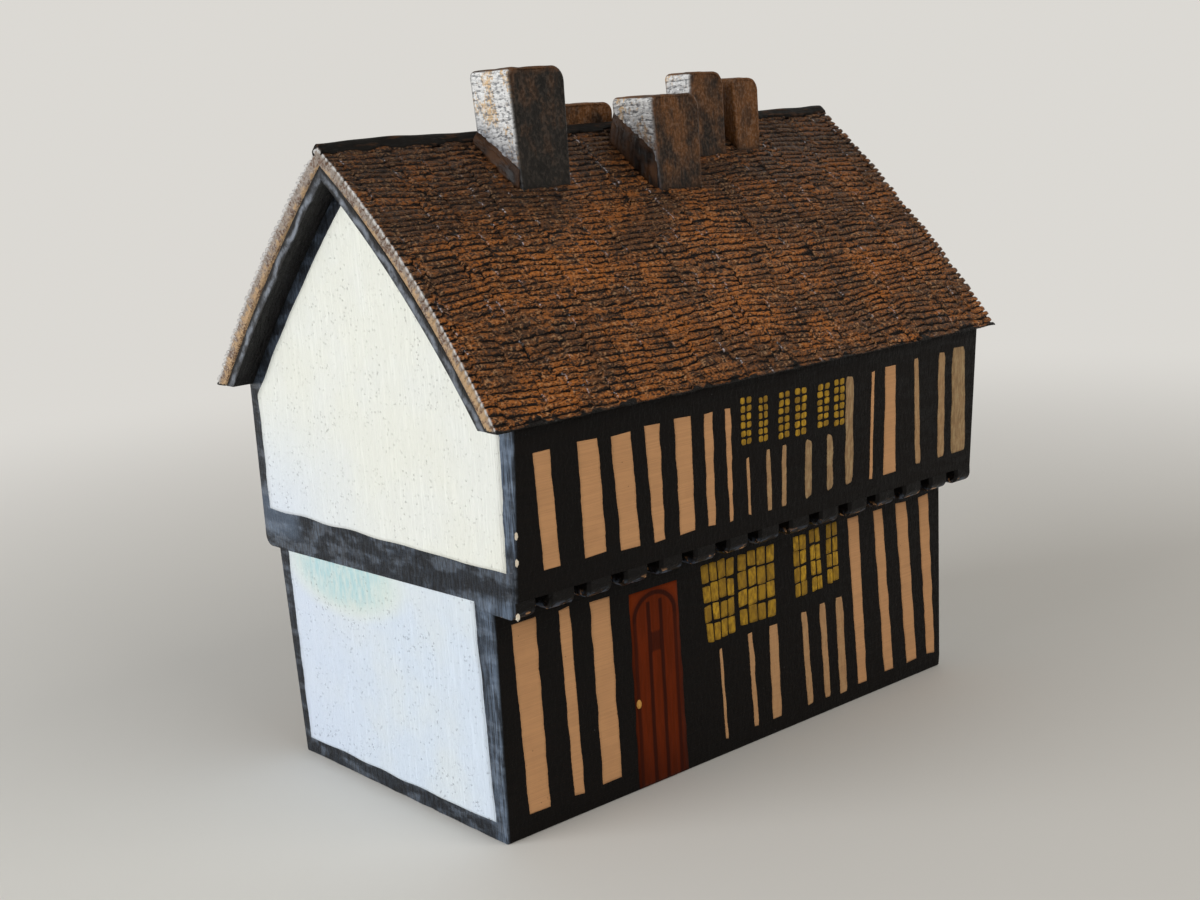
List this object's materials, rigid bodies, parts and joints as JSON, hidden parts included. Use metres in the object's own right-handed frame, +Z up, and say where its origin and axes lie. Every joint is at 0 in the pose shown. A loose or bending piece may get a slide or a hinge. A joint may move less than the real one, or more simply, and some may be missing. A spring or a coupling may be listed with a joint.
{
  "type": "model cottage ornament",
  "caption": "Small carved and painted wooden model of a timber-framed cottage: jettied upper storey, steep tiled roof, brick chimneys, painted door and windows.",
  "frame": {"origin": "middle of the base plane, under the middle of the roof's outline", "axes": "+Z up, +X along the ridge towards the right gable, the painted front with the door faces -Y"},
  "size_m": [0.137, 0.098, 0.1406],
  "materials": {
    "timber_black_walls": "satin black paint over wood, with painted panels",
    "joist_black": "satin black paint",
    "soffit_black": "satin black paint",
    "carved_tiles": "stained and varnished carved tiles",
    "ridge_black": "satin black paint",
    "chimney_brick": "stained carved brickwork, varnished"
  },
  "bodies": {
    "root": {"ground_floor": "timber_black_walls", "upper_floor": "timber_black_walls", "joist_end_01": "joist_black", "joist_end_02": "joist_black", "joist_end_03": "joist_black", "joist_end_04": "joist_black", "joist_end_05": "joist_black", "joist_end_06": "joist_black", "joist_end_07": "joist_black", "joist_end_08": "joist_black", "joist_end_09": "joist_black", "joist_end_10": "joist_black", "joist_end_11": "joist_black", "joist_end_12": "joist_black", "joist_end_13": "joist_black", "joist_end_14": "joist_black", "joist_end_15": "joist_black", "back_joist_ends": "joist_black", "roof_board_front": "soffit_black", "roof_board_back": "soffit_black", "roof_tiles_front": "carved_tiles", "roof_tiles_back": "carved_tiles", "ridge_strip": "ridge_black", "chimney_left": "chimney_brick", "chimney_middle": "chimney_brick", "chimney_tall": "chimney_brick", "chimney_right": "chimney_brick", "chimney_back": "chimney_brick"}
  },
  "joints": []
}
